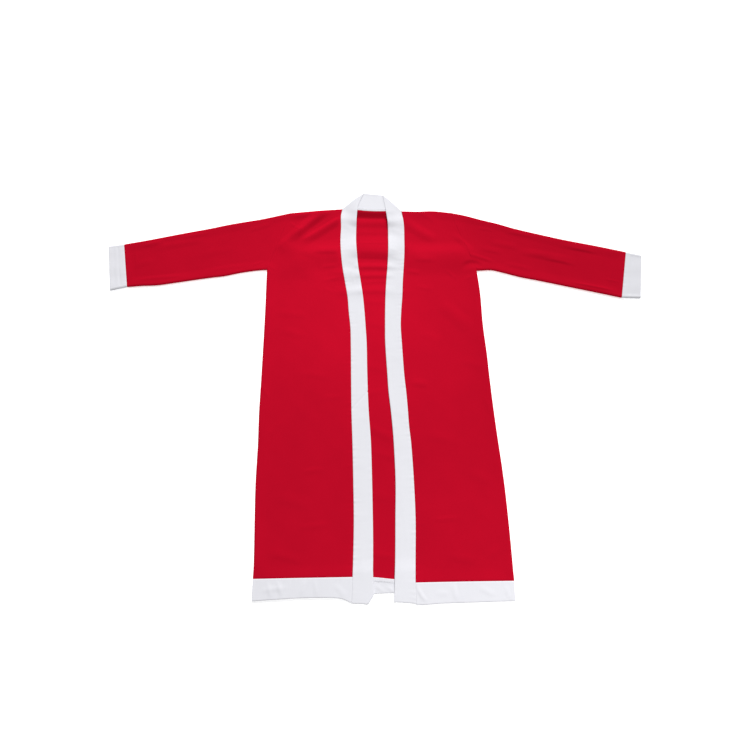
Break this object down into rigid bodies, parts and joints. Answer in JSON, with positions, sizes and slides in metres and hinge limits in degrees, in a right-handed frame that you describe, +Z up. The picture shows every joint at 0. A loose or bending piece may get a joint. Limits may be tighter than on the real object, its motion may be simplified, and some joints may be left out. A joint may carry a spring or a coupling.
{
  "type": "santa suit robe laid flat",
  "caption": "Long open-front santa robe of thin red cloth with folded white strips along fronts, neck, cuffs and hem, laid flat face up with spread sleeves.",
  "frame": {"origin": "on the floor under the middle of the whole robe's box", "axes": "+X along the spread sleeves towards the wearer's left cuff, +Y from the hem to the collar, +Z up from the floor"},
  "size_m": [1.6498, 1.2268, 0.0168],
  "materials": {
    "red_cloth": "thin brushed polyester cloth, matt with a short soft nap",
    "white_trim": "white brushed polyester strip folded double, matt"
  },
  "bodies": {
    "root": {"back": "red_cloth", "front_right": "red_cloth", "front_left": "red_cloth", "sleeve_right": "red_cloth", "sleeve_left": "red_cloth", "cuff_right": "white_trim", "cuff_left": "white_trim", "band_right": "white_trim", "band_neck": "white_trim", "band_left": "white_trim", "hem_back": "white_trim", "hem_front_right": "white_trim", "hem_front_left": "white_trim"}
  },
  "joints": []
}
